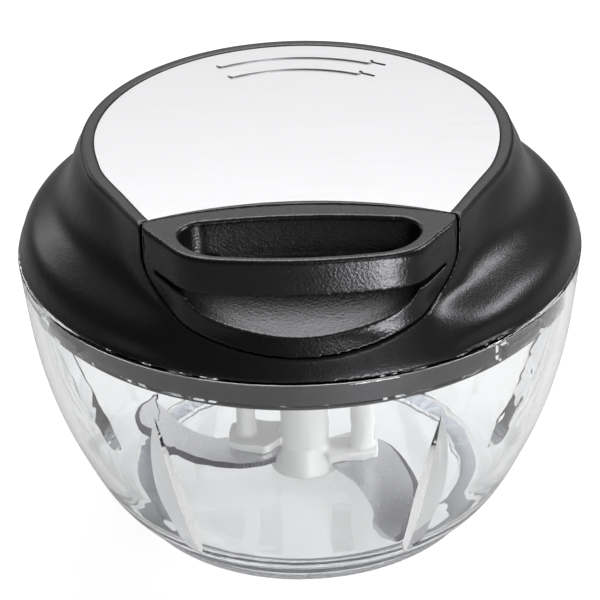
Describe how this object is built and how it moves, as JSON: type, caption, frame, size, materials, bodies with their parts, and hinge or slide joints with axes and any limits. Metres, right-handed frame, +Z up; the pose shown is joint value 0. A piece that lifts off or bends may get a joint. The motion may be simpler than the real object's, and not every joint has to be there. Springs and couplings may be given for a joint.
{
  "type": "pull-cord food chopper",
  "caption": "Round clear chopping bowl with a black domed lid, a steel top plate, a pull grip on a cord reel and a removable blade shaft.",
  "frame": {"origin": "centre of the foot ring, on the surface that the chopper stands on", "axes": "+Z up along the blade shaft; the grip is pulled towards -Y"},
  "size_m": [0.1306, 0.1306, 0.0953],
  "materials": {
    "clear_bowl": "clear polished moulded plastic",
    "soft_foot": "translucent grey soft ring, satin",
    "steel": "turned steel",
    "seal": "soft light seal",
    "black_lid": "black, fine grained, semi-gloss",
    "black_grip": "black, fine grained, semi-gloss",
    "black_inner": "black, smooth",
    "brushed_plate": "light steel, brushed from left to right",
    "screws": "zinc plated",
    "bush": "natural acetal",
    "reel_plastic": "off-white moulded plastic",
    "spring_steel": "blued spring steel",
    "drive_plastic": "white moulded plastic",
    "eyelet": "polished",
    "cord": "braided light grey cord",
    "white_plastic": "white moulded plastic, soft gloss",
    "blade_steel": "ground stainless steel with a dark toothed bevel"
  },
  "bodies": {
    "bowl": {"bowl": "clear_bowl", "foot_ring": "soft_foot", "bowl_pin": "steel"},
    "seal": {"seal_ring": "seal"},
    "lid": {"lid_housing": "black_lid", "steel_plate": "brushed_plate", "lid_base": "black_inner", "lid_screws": "screws", "drive_bush": "bush", "reel_axle": "steel", "reel_washer": "steel", "axle_clip": "spring_steel", "power_spring": "spring_steel", "cord_guide": "eyelet", "cord_run": "cord"},
    "grip": {"handle_grip": "black_grip", "handle_back": "black_inner", "handle_screws": "screws", "cord_tail": "cord", "cord_knot": "cord"},
    "reel": {"reel": "reel_plastic", "spring_cover": "reel_plastic", "drive_socket": "drive_plastic", "socket_screws": "screws", "cord_winding": "cord"},
    "bush": {"shaft_bush": "bush"},
    "blades": {"blade_carrier": "white_plastic", "short_blade": "blade_steel", "long_blade": "blade_steel"}
  },
  "joints": [
    {"name": "lid_lift", "type": "slide", "parent": "bowl", "child": "seal", "axis": [0, 0, 1], "range_m": [0, 0.12]},
    {"name": "lid_turn", "type": "hinge", "parent": "seal", "child": "lid", "pos_m": [0, 0, 0.0687], "axis": [0, 0, 1], "range_deg": [-13, 0]},
    {"name": "handle_pull", "type": "slide", "parent": "lid", "child": "grip", "axis": [0, -1, 0], "range_m": [0, 0.36], "stiffness_N_per_m": 15, "springref_m": -0.2},
    {"name": "reel_spin", "type": "hinge", "parent": "lid", "child": "reel", "pos_m": [0, 0, 0.077], "axis": [0, 0, 1], "range_deg": [0, 815]},
    {"name": "insert_lift", "type": "slide", "parent": "bowl", "child": "bush", "axis": [0, 0, 1], "range_m": [0, 0.06]},
    {"name": "blade_spin", "type": "hinge", "parent": "bush", "child": "blades", "pos_m": [0, 0, 0.02], "axis": [0, 0, 1], "range_deg": [0, 815]}
  ],
  "couplings": [
    {"joint": "reel_spin", "follows": "handle_pull", "rad_per_m": 39.5},
    {"joint": "blade_spin", "follows": "handle_pull", "rad_per_m": 39.5},
    {"joint": "insert_lift", "follows": "lid_lift", "ratio": 0.5}
  ]
}
